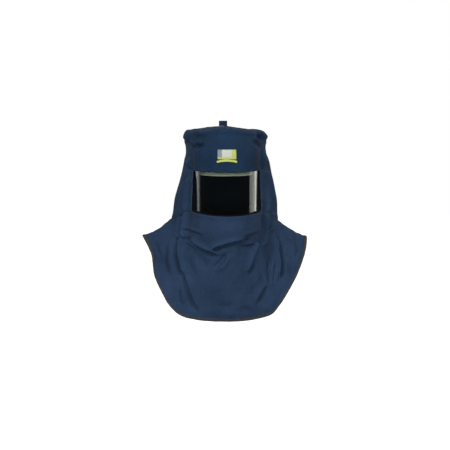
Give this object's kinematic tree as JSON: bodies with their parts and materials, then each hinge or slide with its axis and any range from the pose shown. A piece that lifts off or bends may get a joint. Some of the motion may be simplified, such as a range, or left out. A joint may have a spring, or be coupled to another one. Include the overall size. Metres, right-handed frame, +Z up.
{
  "type": "arc flash hood",
  "caption": "Sewn cloth hood with a wide bib and back cape, a curved clear face shield behind its window and a peaked hard cap inside that carries it on the head.",
  "frame": {"origin": "where the top of the wearer's head meets the cap's crossed straps", "axes": "+Z up, the window looks along -Y, +X is the wearer's left"},
  "size_m": [0.5824, 0.37, 0.6699],
  "materials": {
    "navy_cotton": "woven flame-resistant cotton, matt",
    "charcoal_tape": "woven binding tape, matt",
    "black_cloth": "thin black cloth, matt",
    "tinted_sheet": "polished polycarbonate sheet, pale sage green",
    "white_plastic": "moulded shell, satin",
    "black_plastic": "moulded, satin",
    "grey_label": "printed plastic plate with nothing on it, satin",
    "yellow_label": "moulded strip, glossy"
  },
  "bodies": {
    "root": {"crown_panel": "navy_cotton", "brow_panel": "navy_cotton", "cheek_strip_left": "navy_cotton", "cheek_strip_right": "navy_cotton", "side_panel_left": "navy_cotton", "side_panel_right": "navy_cotton", "back_panel": "navy_cotton", "bib_front": "navy_cotton", "cape_back": "navy_cotton", "hem_binding": "charcoal_tape", "window_surround": "black_cloth", "face_shield": "tinted_sheet", "shield_carrier": "black_plastic", "hard_cap": "white_plastic", "cap_straps": "black_plastic", "hang_loop": "navy_cotton", "badge_plate": "grey_label", "badge_lip": "yellow_label"}
  },
  "joints": []
}
